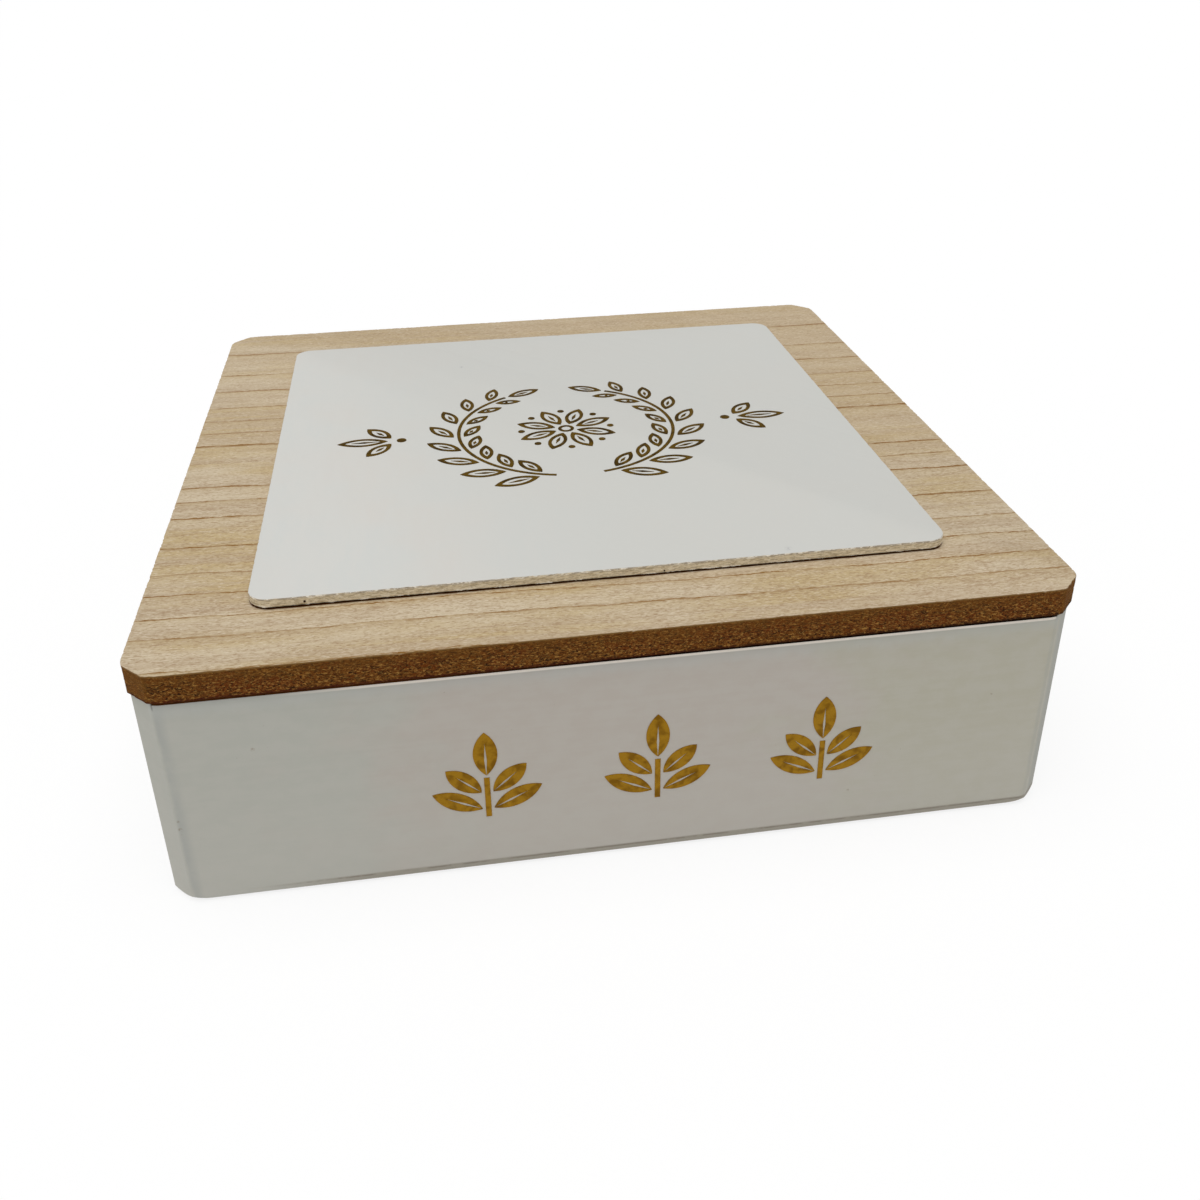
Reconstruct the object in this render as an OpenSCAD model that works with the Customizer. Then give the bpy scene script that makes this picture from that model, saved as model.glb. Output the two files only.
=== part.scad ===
// Tea bag organizer box: a painted square box with nine compartments under a
// wood-veneered lid. The lid carries a white plaque and turns on two stop hinges
// at the back. Millimetres. The origin is on the table, under the lid's centre:
// X runs to the right, Y to the back and Z up. The lid is drawn shut.

/* [Lid] */
// Width of the lid
lid_w = 240; // [200:1:300]
// Depth of the lid
lid_d = 240; // [200:1:300]
// Thickness of the lid's fibreboard core
lid_core_t = 7.3; // [7:0.1:12]
// Thickness of the wood veneer on top of the core
veneer_t = 0.5; // [0.3:0.1:1]
// How far each corner of the lid is cut back along its two edges
lid_corner_cut = 6.5; // [3:0.5:12]

/* [Walls] */
// Height of the side walls, which carry the lid
wall_h = 64; // [50:1:100]
// Thickness of the four walls
wall_t = 6; // [5.5:0.1:10]
// How far the lid stands out past each side wall
side_overhang = 0.5; // [0:0.1:4]
// How far the lid stands out past the front wall
front_overhang = 1.5; // [0:0.1:4]
// How far each upright corner of the box is cut back along its two faces
box_corner_cut = 6; // [4:0.5:7]
// Bevel round the foot of the walls
foot_bevel = 1.2; // [0.4:0.1:1.8]
// Radius of the foot's corners where they stand on the table
foot_corner_r = 9; // [7:0.5:10]

/* [Base] */
// Thickness of the base panel
base_t = 3; // [2:0.1:6]
// How far the base panel reaches into the walls' rebates
rebate_w = 1.5; // [0.8:0.1:2]
// Gap round the base panel in its rebates
base_gap = 0.1; // [0.05:0.05:0.4]

/* [Dividers] */
// Thickness of the dividers
divider_t = 3; // [2:0.1:6]
// Height of the dividers above the base panel
divider_h = 54; // [30:1:80]
// Gap between the dividers' ends and the walls
divider_end_gap = 0.3; // [0.1:0.1:1]
// Play in the half-lap slots, in width and in height
slot_gap = 0.2; // [0.1:0.1:0.6]

/* [Plaque] */
// Width of the plaque
plaque_w = 185; // [120:1:196]
// Depth of the plaque
plaque_d = 185; // [120:1:190]
// Thickness of the plaque
plaque_t = 2.6; // [2:0.1:6]
// Corner radius of the plaque
plaque_corner_r = 5.5; // [1:0.5:12]
// How far the plaque sits forward of the lid's centre
plaque_forward = 2.5; // [0:0.5:4]
// Thickness of the double-sided tape under the plaque
tape_t = 0.5; // [0.1:0.05:1]
// Width of each strip of tape
tape_w = 25; // [10:1:40]
// How far the tape's ends and outer edges stay inside the plaque
tape_inset = 16; // [5:1:30]

/* [Ornament] */
// Thickness of the gold foil
foil_t = 0.12; // [0.1:0.01:0.3]
// Width of the printed lines on the plaque
line_w = 1.1; // [0.6:0.1:1.5]
// Radius of the plaque's wreath, to its stems
wreath_r = 35; // [26:0.5:42]
// Length of the wreath's lowest leaves
wreath_leaf_l = 14.5; // [11:0.5:16]
// Width of the wreath's leaves
wreath_leaf_w = 5.9; // [4:0.1:7]
// Length of the blossom's petals
petal_l = 13; // [8:0.5:14]
// Height of each sprig on the front wall
sprig_h = 27; // [18:0.5:36]
// Distance from one front sprig to the next
sprig_pitch = 44.5; // [34:0.5:60]
// How far the row of front sprigs sits to the right of the middle
sprig_shift = 8; // [-10:0.5:15]

/* [Hinges] */
// Distance of each hinge's middle from the end of the lid
hinge_inset = 45; // [26:1:70]
// Width of a hinge
hinge_w = 24; // [18:0.5:36]
// Thickness of the hinge's sheet brass
leaf_t = 0.7; // [0.6:0.05:1]
// Gap between the two leaves when the lid is shut
leaf_gap = 0.1; // [0.05:0.05:0.2]
// Outer radius of the hinge's knuckles
knuckle_r = 1.6; // [1.5:0.1:2.2]
// Radius of the hinge pin
pin_r = 0.75; // [0.5:0.05:0.85]
// Radial play of the pin in the lid leaf's knuckle
pin_play = 0.05; // [0.02:0.01:0.1]
// Reach of the stop arms from the pin's centre
stop_reach = 5; // [4:0.1:7]
// Angle at which the stop arms meet
open_angle = 100; // [90:1:115]

/* [Screws] */
// Length of the hinge screws
screw_l = 6; // [4:0.1:6.5]
// Radius of the screws' shanks
screw_r = 0.65; // [0.5:0.05:0.8]
// Radius of the screws' countersunk heads
screw_head_r = 1.3; // [1:0.05:1.6]
// Distance of each screw from the hinge's middle
screw_x = 7.5; // [4:0.5:8]

/* [Hidden] */
$fn = 96;
paint = [0.72, 0.71, 0.67];
eps = 1; // how far a cutter runs past the face that it opens
arc_ratio = 1.4; // radius of the bends beside a cut corner's flat, in cuts

// The box under the lid: flush with the lid at the back, where the hinges are
box_w = lid_w - 2 * side_overhang;
front_y = -lid_d / 2 + front_overhang;
rear_y = lid_d / 2;
box_d = rear_y - front_y;
box_mid_y = (front_y + rear_y) / 2;
inner_w = box_w - 2 * wall_t;
inner_d = box_d - 2 * wall_t;
// The front and rear walls stop short of the lid by the thickness of a shut hinge
board_h = wall_h - 2 * leaf_t - leaf_gap;

// Two dividers each way make three equal compartments each way
cell_w = (inner_w - 2 * divider_t) / 3;
cell_d = (inner_d - 2 * divider_t) / 3;
divider_x = (cell_w + divider_t) / 2;
divider_y = (cell_d + divider_t) / 2;
lap_z = base_t + divider_h / 2;

// Levels of the lid's layers
core_top = wall_h + lid_core_t;
lid_top = core_top + veneer_t;
plaque_z = lid_top + tape_t;
plaque_top = plaque_z + plaque_t;

// Hinge: the pin lies behind the rear wall, level with the gap between the leaves
hinge_run = 0.3; // clearance round a knuckle
hinge_x = lid_w / 2 - hinge_inset;
hinge_y = rear_y + knuckle_r + hinge_run;
hinge_z = wall_h - leaf_t - leaf_gap / 2;
bore_r = pin_r + pin_play;
leaf_l = wall_t - 0.6;
knuckle_w = hinge_w / 3;
knuckle_gap = 0.1;
stop_gap = 0.2;
screw_y = rear_y - wall_t / 2 - hinge_y; // screw's place behind the pin, so negative
sink = 0.05; // how far a screw's head lies below its leaf's face
head_h = leaf_t - sink - 0.07;
hole_play = 0.05;
tip_h = 1.2;

// ---- Shared shapes ----

// Flat rectangle with round corners, centred on the origin
module rounded_rect(w, d, r) {
    square([w - 2 * r, d], center = true);
    square([w, d - 2 * r], center = true);
    for (x = [-1, 1], y = [-1, 1])
        translate([x * (w / 2 - r), y * (d / 2 - r)]) circle(r);
}

// Flat rectangle centred on the origin, its round corners each cut flat at 45 degrees
module cut_rect(w, d, cut) {
    intersection() {
        rounded_rect(w, d, arc_ratio * cut);
        rotate(45) square((w + d - 2 * cut) / sqrt(2), center = true);
    }
}

// Straight bevel cutter of the given length along X, for an edge on the X axis
module bevel_cutter(length) {
    rotate([90, 0, 90]) translate([0, 0, -length / 2]) linear_extrude(length)
        polygon([[-eps, -eps], [foot_bevel + eps, -eps], [-eps, foot_bevel + eps]]);
}

// Outside of the box: cut upright corners and a bevel round the foot, which turns each
// corner as part of a cone
module box_envelope() {
    cone_inset = foot_corner_r + foot_bevel; // from the walls' faces to a cone's axis
    straight_w = box_w - 2 * cone_inset;
    straight_d = box_d - 2 * cone_inset;
    cone_h = wall_t; // enough for each cone to leave its corner
    translate([0, box_mid_y, 0]) difference() {
        linear_extrude(wall_h) cut_rect(box_w, box_d, box_corner_cut);
        for (side = [0, 180]) rotate(side) {
            translate([0, -box_d / 2, 0]) bevel_cutter(straight_w);
            translate([box_w / 2, 0, 0]) rotate(90) bevel_cutter(straight_d);
        }
        for (turn = [0 : 3]) {
            x = straight_w / 2 * (turn == 0 || turn == 3 ? 1 : -1);
            y = straight_d / 2 * (turn < 2 ? 1 : -1);
            translate([x, y, 0]) rotate(90 * turn) rotate_extrude(angle = 90)
                polygon([[foot_corner_r - eps, -eps], [foot_corner_r + cone_h, -eps],
                         [foot_corner_r + cone_h, cone_h]]);
        }
    }
}

// Pocket that the base panel fills, cut from the foot of all four walls
module base_pocket() {
    w = inner_w + 2 * rebate_w;
    d = inner_d + 2 * rebate_w;
    translate([-w / 2, box_mid_y - d / 2, -eps]) cube([w, d, base_t + eps]);
}

// Pointed flat leaf along +X from the origin, bounded by two equal arcs
module leaf(length, width) {
    r = (length * length + width * width) / (4 * width);
    translate([length / 2, 0]) intersection() {
        translate([0, width / 2 - r]) circle(r);
        translate([0, r - width / 2]) circle(r);
    }
}

// Leaf drawn as a line round its edge, with a midrib
module outline_leaf(length, width) {
    difference() {
        leaf(length, width);
        translate([line_w * 2, 0]) leaf(length - 4 * line_w, width - 2 * line_w);
    }
    translate([line_w * 3, 0]) midrib(length - 7 * line_w, line_w);
}

// Slim rhombus along +X for the rib of a leaf
module midrib(length, width) {
    polygon([[0, 0], [length / 2, width / 2], [length, 0], [length / 2, -width / 2]]);
}

// Solid leaf with a narrow clear vein down its middle
module veined_leaf(length, width) {
    difference() {
        leaf(length, width);
        translate([-length * 0.04, 0]) midrib(length * 0.8, length * 0.05);
    }
}

// ---- Box ----

// Front and rear walls stand between the side walls
module end_wall(y) {
    translate([-inner_w / 2, y, 0]) cube([inner_w, wall_t, board_h]);
}

// Side walls run the full depth and show their ends at the front
module side_wall(x) {
    translate([x, front_y, 0]) cube([wall_t, box_d, wall_h]);
}

module front_wall() color(paint) difference() {
    intersection() { end_wall(front_y); box_envelope(); }
    base_pocket();
}

module rear_wall() color(paint) difference() {
    intersection() { end_wall(rear_y - wall_t); box_envelope(); }
    base_pocket();
    for (x = [-hinge_x, hinge_x]) at_screws(x) pilot_hole();
}

module left_wall() color(paint) difference() {
    intersection() { side_wall(-box_w / 2); box_envelope(); }
    base_pocket();
}

module right_wall() color(paint) difference() {
    intersection() { side_wall(box_w / 2 - wall_t); box_envelope(); }
    base_pocket();
}

module base_panel() {
    w = inner_w + 2 * (rebate_w - base_gap);
    d = inner_d + 2 * (rebate_w - base_gap);
    color(paint) translate([-w / 2, box_mid_y - d / 2, 0]) cube([w, d, base_t]);
}

// Divider across the box, slotted from above for the two long dividers
module cross_divider(y) {
    w = inner_w - 2 * divider_end_gap;
    slot_w = divider_t + slot_gap;
    color(paint) translate([0, box_mid_y + y, 0]) difference() {
        translate([-w / 2, -divider_t / 2, base_t]) cube([w, divider_t, divider_h]);
        for (x = [-divider_x, divider_x])
            translate([x - slot_w / 2, -divider_t, lap_z - slot_gap / 2])
                cube([slot_w, 2 * divider_t, divider_h]);
    }
}

// Divider from front to back, slotted from below for the two cross dividers
module long_divider(x) {
    d = inner_d - 2 * divider_end_gap;
    slot_w = divider_t + slot_gap;
    color(paint) translate([x, box_mid_y, 0]) difference() {
        translate([-divider_t / 2, -d / 2, base_t]) cube([divider_t, d, divider_h]);
        for (y = [-divider_y, divider_y])
            translate([-divider_t, y - slot_w / 2, lap_z + slot_gap / 2 - divider_h])
                cube([2 * divider_t, slot_w, divider_h]);
    }
}

module front_divider() cross_divider(-divider_y);
module rear_divider() cross_divider(divider_y);
module left_divider() long_divider(-divider_x);
module right_divider() long_divider(divider_x);

// Leafy sprig of gold foil: a bud over pairs of leaves on a short stem
module sprig(place) {
    stem_w = sprig_h * 0.055;
    bud_l = sprig_h * 0.5;
    x = sprig_shift + place * sprig_pitch;
    color([0.66, 0.50, 0.18])
    translate([x, front_y, board_h / 2]) rotate([90, 0, 0]) linear_extrude(foil_t)
        translate([0, -sprig_h / 2]) {
            translate([-stem_w / 2, 0]) square([stem_w, sprig_h * 0.47]);
            translate([0, sprig_h - bud_l]) rotate(90)
                veined_leaf(bud_l, bud_l * 0.46);
            for (side = [-1, 1], pair = [0, 1])
                translate([side * stem_w, sprig_h * (0.1 + 0.2 * pair)])
                    rotate(90 - side * (64 - 16 * pair))
                        veined_leaf(sprig_h * (0.52 - 0.08 * pair), sprig_h * 0.2);
        }
}

module left_sprig() sprig(-1);
module middle_sprig() sprig(0);
module right_sprig() sprig(1);

// ---- Lid ----

module lid_board() color([0.40, 0.26, 0.13]) difference() {
    translate([0, 0, wall_h]) linear_extrude(lid_core_t)
        cut_rect(lid_w, lid_d, lid_corner_cut);
    for (x = [-hinge_x, hinge_x]) flipped() at_screws(x) pilot_hole();
}

module lid_veneer() color([0.80, 0.70, 0.54])
    translate([0, 0, core_top]) linear_extrude(veneer_t)
        cut_rect(lid_w, lid_d, lid_corner_cut);

// Two strips of tape hold the plaque, and leave a fine shadow line under its edge
module plaque_tape() {
    l = plaque_w - 2 * tape_inset;
    y = plaque_d / 2 - tape_inset - tape_w / 2;
    color([0.9, 0.9, 0.86]) for (side = [-1, 1])
        translate([-l / 2, side * y - plaque_forward - tape_w / 2, lid_top])
            cube([l, tape_w, tape_t]);
}

module plaque() color([0.82, 0.82, 0.80])
    translate([0, -plaque_forward, plaque_z]) linear_extrude(plaque_t)
        rounded_rect(plaque_w, plaque_d, plaque_corner_r);

// Right half of the wreath: an upright arc with leaves on both sides and one at its tip
module branch() {
    start = -78;
    sweep = 138;
    pairs = 8;
    spread = 36; // angle of each leaf from the stem
    far = 2 * wreath_r;
    intersection() {
        difference() { circle(wreath_r + line_w / 2); circle(wreath_r - line_w / 2); }
        polygon([[0, 0], for (i = [0 : 3]) far * [cos(start + sweep * i / 3), sin(start + sweep * i / 3)]]);
    }
    for (i = [0 : pairs - 1], side = [-1, 1]) {
        // leaves shorten towards the tip, and those inside are smaller than those outside
        size = (1 - 0.035 * i) * (side > 0 ? 1 : 0.8);
        rotate(start + sweep * (i + 0.45) / pairs) translate([wreath_r + side * 1.5 * line_w, 0])
            rotate(90 - side * spread) outline_leaf(wreath_leaf_l * size, wreath_leaf_w * size);
    }
    rotate(start + sweep + 2) translate([wreath_r, 0]) rotate(93)
        outline_leaf(wreath_leaf_l * 0.85, wreath_leaf_w * 0.85);
}

// Three leaves beside the wreath, pointing away from it
module side_twig() {
    translate([wreath_r + wreath_leaf_l + 3.5 * line_w, 0]) {
        circle(1.4 * line_w);
        translate([4 * line_w, 0]) outline_leaf(wreath_leaf_l * 1.1, wreath_leaf_w);
        for (side = [-1, 1])
            translate([3 * line_w, side * 2 * line_w]) rotate(side * 48)
                outline_leaf(wreath_leaf_l * 0.8, wreath_leaf_w * 0.9);
    }
}

// Ornament on the plaque: a blossom inside a leafy wreath, with a twig at each side
module plaque_ornament() {
    petals = 8;
    eye_r = 2.6;
    color([0.42, 0.31, 0.14])
    translate([0, -plaque_forward, plaque_top]) linear_extrude(foil_t) {
        difference() { circle(eye_r); circle(eye_r - line_w); }
        for (i = [0 : petals - 1]) rotate(360 / petals * i) {
            rotate(180 / petals) translate([eye_r + line_w, 0])
                outline_leaf(petal_l, petal_l * 0.44);
            translate([petal_l + 1.5 * line_w, 0]) circle(line_w);
        }
        for (flip = [0, 1]) mirror([flip, 0]) { branch(); side_twig(); }
    }
}

// ---- Hinges ----
// A leaf is drawn round the pin's axis at the origin, with its plate forward of the
// pin and its stop arm behind it. The lid's leaf is the same drawing turned over.

// Sends what is drawn for the box's side of a hinge to the lid's side
module flipped() translate([0, 0, 2 * hinge_z]) mirror([0, 0, 1]) children();

module at_screws(x) {
    for (side = [-1, 1])
        translate([x + side * screw_x, hinge_y + screw_y, hinge_z - leaf_gap / 2]) children();
}

// Plain hole for a screw's shank and tip, below the leaf's upper face
module pilot_hole() {
    translate([0, 0, -screw_l - 0.2]) cylinder(h = screw_l + eps, r = screw_r + hole_play);
}

// Slab across part of the hinge, from y0 to y1 and from z0 to z1 about the pin
module slab(x0, x1, y0, y1, z0, z1) {
    translate([x0, y0, z0]) cube([x1 - x0, y1 - y0, z1 - z0]);
}

// One leaf. Each span is the [start, end] along X of one of its knuckles
module hinge_leaf(spans) {
    clear_r = knuckle_r + hinge_run;
    root_r = knuckle_r * 0.75; // inside the knuckle, outside its bore
    top = -leaf_gap / 2;
    stop_turn = -open_angle / 2;
    difference() {
        union() {
            slab(-hinge_w / 2, hinge_w / 2, -clear_r - leaf_l, -clear_r, top - leaf_t, top);
            rotate([stop_turn, 0, 0])
                slab(-hinge_w / 2, hinge_w / 2, clear_r, stop_reach, -stop_gap / 2 - leaf_t, -stop_gap / 2);
            for (span = spans) {
                slab(span[0], span[1], -clear_r - eps, -root_r, top - leaf_t, top);
                rotate([stop_turn, 0, 0])
                    slab(span[0], span[1], root_r, clear_r + eps, -stop_gap / 2 - leaf_t, -stop_gap / 2);
                translate([span[0], 0, 0]) rotate([0, 90, 0])
                    cylinder(h = span[1] - span[0], r = knuckle_r);
            }
        }
        translate([-hinge_w, 0, 0]) rotate([0, 90, 0]) cylinder(h = 2 * hinge_w, r = bore_r);
        for (side = [-1, 1]) translate([side * screw_x, screw_y, top]) {
            translate([0, 0, -leaf_t - eps]) cylinder(h = leaf_t + 2 * eps, r = screw_r + hole_play);
            translate([0, 0, -head_h - sink])
                cylinder(h = head_h, r1 = screw_r + hole_play, r2 = screw_head_r + hole_play);
            translate([0, 0, -sink]) cylinder(h = sink + eps, r = screw_head_r + hole_play);
        }
    }
}

module box_leaf(x) color([0.78, 0.62, 0.30]) translate([x, hinge_y, hinge_z])
    hinge_leaf([[-hinge_w / 2, -knuckle_w / 2 - knuckle_gap],
                [knuckle_w / 2 + knuckle_gap, hinge_w / 2]]);

module lid_leaf(x) color([0.78, 0.62, 0.30]) flipped() translate([x, hinge_y, hinge_z])
    hinge_leaf([[-knuckle_w / 2, knuckle_w / 2]]);

// Pin with a low peened head at each end
module hinge_pin(x) {
    head_t = 0.4;
    head_r = pin_r + 0.35;
    shank_l = hinge_w + 2 * knuckle_gap;
    color([0.72, 0.57, 0.28]) translate([x, hinge_y, hinge_z]) rotate([0, 90, 0]) {
        translate([0, 0, -shank_l / 2 - head_t]) cylinder(h = shank_l + 2 * head_t, r = pin_r);
        for (z = [-shank_l / 2 - head_t, shank_l / 2])
            translate([0, 0, z]) cylinder(h = head_t, r = head_r);
    }
}

// Countersunk cross-slot screw, its head just below the leaf's face
module screw() {
    slot_l = screw_head_r * 1.2;
    slot_w = screw_head_r * 0.25;
    color([0.80, 0.66, 0.36]) difference() {
        union() {
            translate([0, 0, -head_h - sink])
                cylinder(h = head_h, r1 = screw_r, r2 = screw_head_r);
            translate([0, 0, -screw_l + tip_h]) cylinder(h = screw_l - tip_h - head_h, r = screw_r);
            translate([0, 0, -screw_l]) cylinder(h = tip_h, r1 = 0.1, r2 = screw_r);
        }
        for (turn = [0, 90]) rotate(turn)
            translate([-slot_l / 2, -slot_w / 2, -head_h * 0.7]) cube([slot_l, slot_w, head_h]);
    }
}

module left_hinge_box_leaf() box_leaf(-hinge_x);
module left_hinge_lid_leaf() lid_leaf(-hinge_x);
module left_hinge_pin() hinge_pin(-hinge_x);
module left_hinge_box_screws() at_screws(-hinge_x) screw();
module left_hinge_lid_screws() flipped() at_screws(-hinge_x) screw();
module right_hinge_box_leaf() box_leaf(hinge_x);
module right_hinge_lid_leaf() lid_leaf(hinge_x);
module right_hinge_pin() hinge_pin(hinge_x);
module right_hinge_box_screws() at_screws(hinge_x) screw();
module right_hinge_lid_screws() flipped() at_screws(hinge_x) screw();

base_panel();
front_wall();
rear_wall();
left_wall();
right_wall();
front_divider();
rear_divider();
left_divider();
right_divider();
left_sprig();
middle_sprig();
right_sprig();
lid_board();
lid_veneer();
plaque_tape();
plaque();
plaque_ornament();
left_hinge_box_leaf();
left_hinge_lid_leaf();
left_hinge_pin();
left_hinge_box_screws();
left_hinge_lid_screws();
right_hinge_box_leaf();
right_hinge_lid_leaf();
right_hinge_pin();
right_hinge_box_screws();
right_hinge_lid_screws();
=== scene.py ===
import math
import random

import bmesh
import bpy
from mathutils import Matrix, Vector, noise


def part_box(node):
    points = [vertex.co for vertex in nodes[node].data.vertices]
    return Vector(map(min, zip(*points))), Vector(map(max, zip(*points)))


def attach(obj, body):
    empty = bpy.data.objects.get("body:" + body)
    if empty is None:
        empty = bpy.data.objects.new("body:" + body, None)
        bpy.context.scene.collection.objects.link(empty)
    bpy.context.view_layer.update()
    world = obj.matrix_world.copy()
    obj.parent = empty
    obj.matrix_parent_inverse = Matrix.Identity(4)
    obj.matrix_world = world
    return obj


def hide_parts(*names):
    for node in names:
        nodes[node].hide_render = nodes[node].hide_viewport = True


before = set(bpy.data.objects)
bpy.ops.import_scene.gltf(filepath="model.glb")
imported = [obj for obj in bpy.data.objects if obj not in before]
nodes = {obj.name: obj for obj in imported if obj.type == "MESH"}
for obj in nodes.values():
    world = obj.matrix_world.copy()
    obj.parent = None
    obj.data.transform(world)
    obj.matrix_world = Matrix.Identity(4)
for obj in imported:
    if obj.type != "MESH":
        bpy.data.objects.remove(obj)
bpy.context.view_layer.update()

mm = 0.001
print("tea box: the frame is in,", len(nodes), "boards, foils and hinge parts")


# the view that the photograph was taken from; the frame is 1200 pixels wide and high

cameraView = {
    "place": (-0.04219, -0.36039, 0.23159),
    "turn": (62.8314, 0.6488, -8.8553),  # degrees
    "lens": 35.888,
    "sensor": 36,
    "shift": (-0.00131, -0.07956),
}


def placeCamera():
    lens = bpy.data.cameras.new("photoCamera")
    lens.sensor_width = cameraView["sensor"]
    lens.lens = cameraView["lens"]
    lens.shift_x, lens.shift_y = cameraView["shift"]
    lens.clip_start = 0.02
    lens.clip_end = 60
    camera = bpy.data.objects.new("photoCamera", lens)
    camera.location = cameraView["place"]
    camera.rotation_euler = [math.radians(a) for a in cameraView["turn"]]
    bpy.context.collection.objects.link(camera)
    bpy.context.scene.camera = camera
    bpy.context.scene.view_settings.view_transform = "Standard"


placeCamera()
print("tea box: camera")


# colours are given as they look on a screen, from 0 to 255

def tint(red, green, blue):
    straight = []
    for part in (red, green, blue):
        part = part / 255
        straight.append(part / 12.92 if part <= 0.04045 else ((part + 0.055) / 1.055) ** 2.4)
    return (*straight, 1)


class Sock:
    # what a node gives out; + - * / on it add Math nodes

    def __init__(self, finish, socket):
        self.finish = finish
        self.socket = socket

    def other(self, name):
        # another output of the same node
        return Sock(self.finish, self.socket.node.outputs[name])

    def maths(self, operation, *terms):
        return self.finish.node("Math", {"operation": operation}, dict(enumerate(terms)))

    def __add__(self, other):
        return self.maths("ADD", self, other)

    def __radd__(self, other):
        return self.maths("ADD", other, self)

    def __sub__(self, other):
        return self.maths("SUBTRACT", self, other)

    def __rsub__(self, other):
        return self.maths("SUBTRACT", other, self)

    def __mul__(self, other):
        return self.maths("MULTIPLY", self, other)

    def __rmul__(self, other):
        return self.maths("MULTIPLY", other, self)

    def __truediv__(self, other):
        return self.maths("DIVIDE", self, other)

    def __pow__(self, other):
        return self.maths("POWER", self, other)

    def __abs__(self):
        return self.maths("ABSOLUTE", self)


class Finish:
    # the nodes of one material, or of the room round the tea box

    def __init__(self, name, room=None):
        self.material = room or bpy.data.materials.new(name)
        self.material.use_nodes = True
        self.tree = self.material.node_tree
        self.tree.nodes.clear()

    def node(self, kind, settings, values, out=None):
        made = self.tree.nodes.new("ShaderNode" + kind)
        for name, value in settings.items():
            if name == "stops":
                self.setStops(made.color_ramp, value)
            else:
                setattr(made, name, value)
        for name, value in values.items():
            if isinstance(name, int):
                socket = made.inputs[name]
            else:
                socket = next(s for s in made.inputs if s.name == name and s.enabled)
            if isinstance(value, Sock):
                self.tree.links.new(value.socket, socket)
            else:
                socket.default_value = value
        shown = [s for s in made.outputs if s.enabled and out in (None, s.name)]
        return Sock(self, shown[0]) if shown else made

    def setStops(self, ramp, stops):
        while len(ramp.elements) < len(stops):
            ramp.elements.new(1)
        for element, (place, shade) in zip(ramp.elements, stops):
            element.position = place
            element.color = (shade, shade, shade, 1)

    def places(self):
        # where a point lies on the tea box, in millimetres
        at = self.node("TexCoord", {}, {}, "Object")
        self.at = self.node("VectorMath", {"operation": "SCALE"}, {"Vector": at, "Scale": 1 / mm})
        x = self.node("SeparateXYZ", {}, {"Vector": self.at}, "X")
        return x, x.other("Y"), x.other("Z")

    def facing(self):
        # how far the surface faces up: 1 is level, 0 is upright, -1 is an underside
        normal = self.node("TexCoord", {}, {}, "Normal")
        return self.node("SeparateXYZ", {}, {"Vector": normal}, "Z")

    def stretched(self, sizes, shift=(0, 0, 0)):
        # the place measured in grains of the given sizes
        grains = [1 / s for s in sizes]
        scaled = self.node("VectorMath", {"operation": "MULTIPLY"}, {0: self.at, 1: grains})
        return self.node("VectorMath", {"operation": "ADD"}, {0: scaled, 1: shift})

    def cloud(self, sizes, detail=2, rough=0.5, shift=(0, 0, 0), twist=0):
        values = {"Vector": self.stretched(sizes, shift), "Scale": 1, "Detail": detail,
                  "Roughness": rough, "Distortion": twist}
        return self.node("TexNoise", {"noise_dimensions": "3D"}, values, "Fac")

    def fade(self, value, low, high):
        settings = {"interpolation_type": "SMOOTHSTEP"}
        return self.node("MapRange", settings, {"Value": value, "From Min": low, "From Max": high})

    def blend(self, first, second, share):
        values = {"Factor": share, "A": first, "B": second}
        return self.node("Mix", {"data_type": "RGBA"}, values, "Result")

    def bump(self, height, depth, strength=1.0):
        # depth is how far the surface moves where height goes from 0 to 1, in millimetres
        return self.node("Bump", {}, {"Height": height, "Strength": strength, "Distance": depth * mm})

    def spot(self, centre, size, soft):
        # 1 near a place on the tea box and 0 past size, in millimetres
        away = self.node("VectorMath", {"operation": "DISTANCE"}, {0: self.at, 1: centre}, "Value")
        return 1 - self.fade(away, size - soft, size)

    def looked(self):
        # 1 for what the camera sees, also in a mirror or through glass, and 0 for soft light
        camera = self.node("LightPath", {}, {}, "Is Camera Ray")
        mirrored = camera.maths("MAXIMUM", camera, camera.other("Is Glossy Ray"))
        return camera.maths("MAXIMUM", mirrored, camera.other("Is Transmission Ray"))

    def surface(self, values):
        shader = self.node("BsdfPrincipled", {}, values)
        self.node("OutputMaterial", {}, {"Surface": shader})
        return self.material


# paint on the walls: white, rolled on fibreboard, with faint level brush lines

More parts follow.
